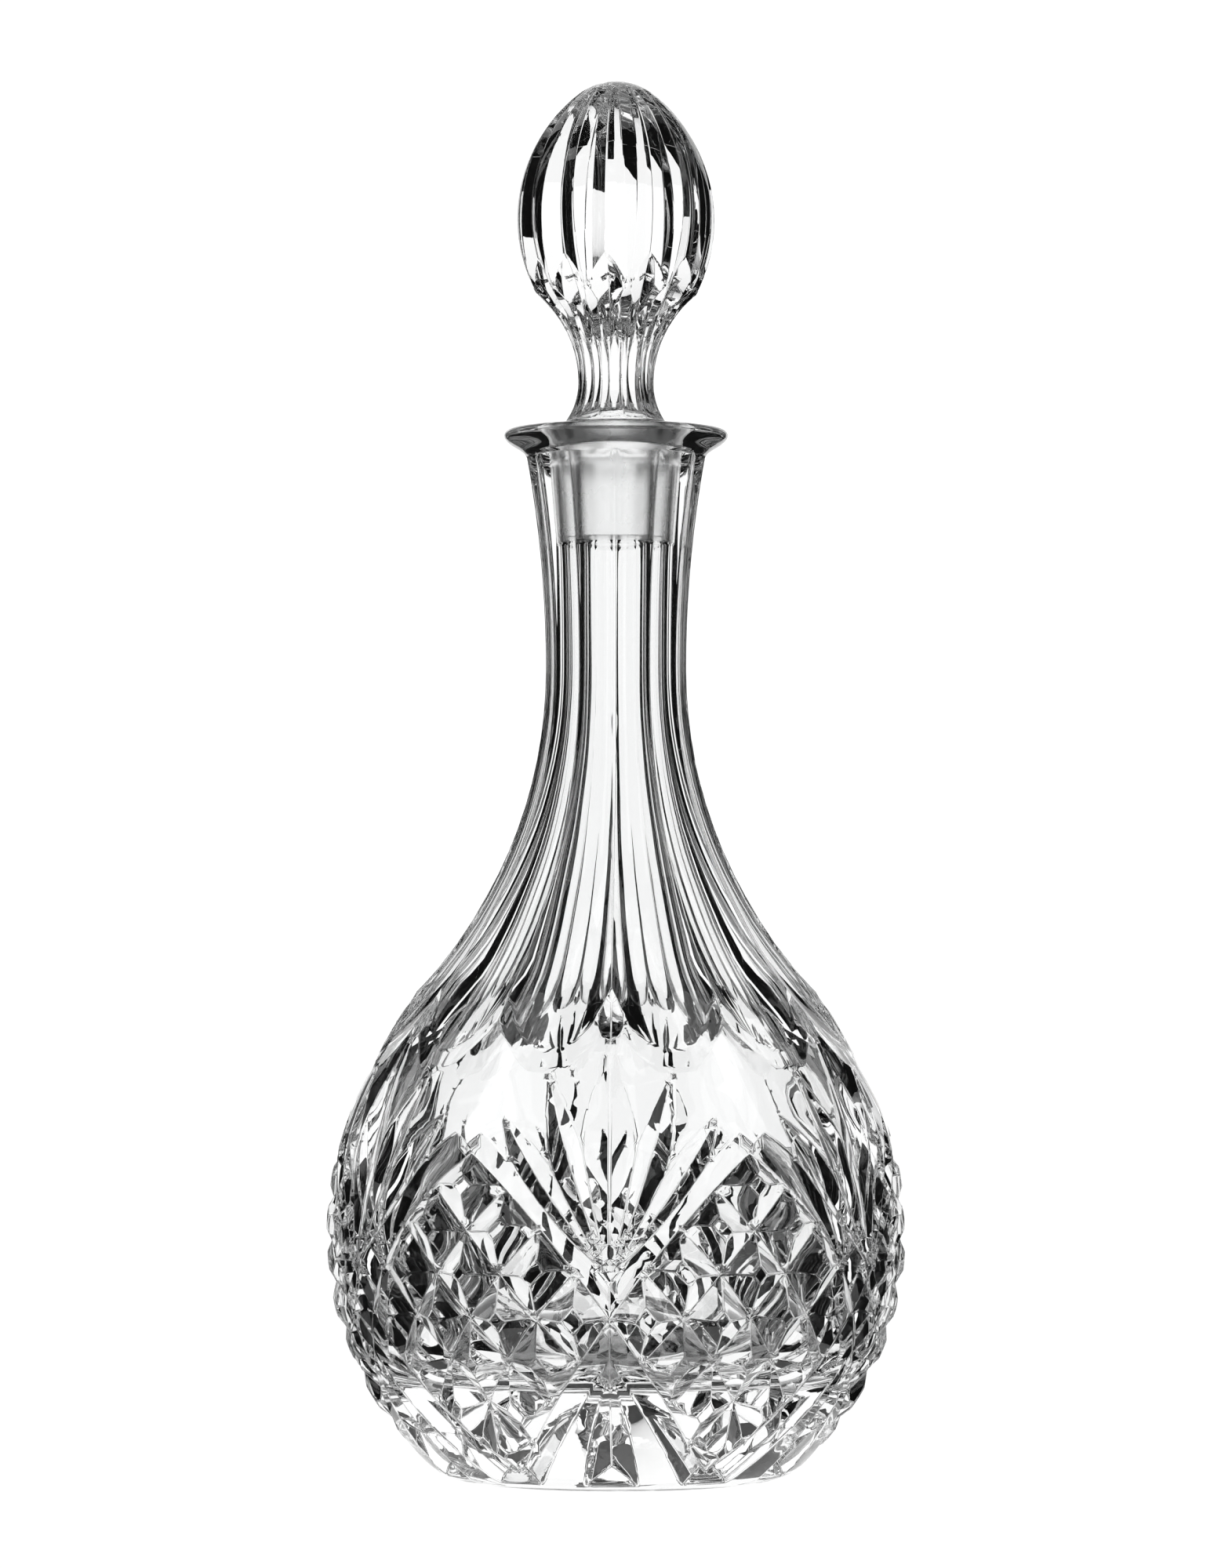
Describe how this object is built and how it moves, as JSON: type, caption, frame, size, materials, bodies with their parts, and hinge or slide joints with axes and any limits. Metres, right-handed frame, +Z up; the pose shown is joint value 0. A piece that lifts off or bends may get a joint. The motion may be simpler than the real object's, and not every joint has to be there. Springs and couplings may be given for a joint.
{
  "type": "decanter",
  "caption": "Round cut glass decanter with diamond lattice and fan cuts, a fluted neck, a disc lip and a pleated egg stopper with a ground plug.",
  "frame": {"origin": "centre of the resting face, on the vessel's axis", "axes": "+Z up along the vessel's axis, -Y the front, where one fan of cuts is centred"},
  "size_m": [0.1404, 0.1404, 0.34],
  "materials": {
    "vessel_glass": "clear cut crystal, polished, with a ground band inside the mouth",
    "stopper_glass": "clear cut crystal, polished, with a satin ground plug"
  },
  "bodies": {
    "vessel": {"decanter_body": "vessel_glass"},
    "stopper": {"stopper": "stopper_glass"}
  },
  "joints": [
    {"name": "stopper_lift", "type": "slide", "parent": "vessel", "child": "stopper", "axis": [0, 0, 1], "range_m": [0, 0.06]}
  ]
}
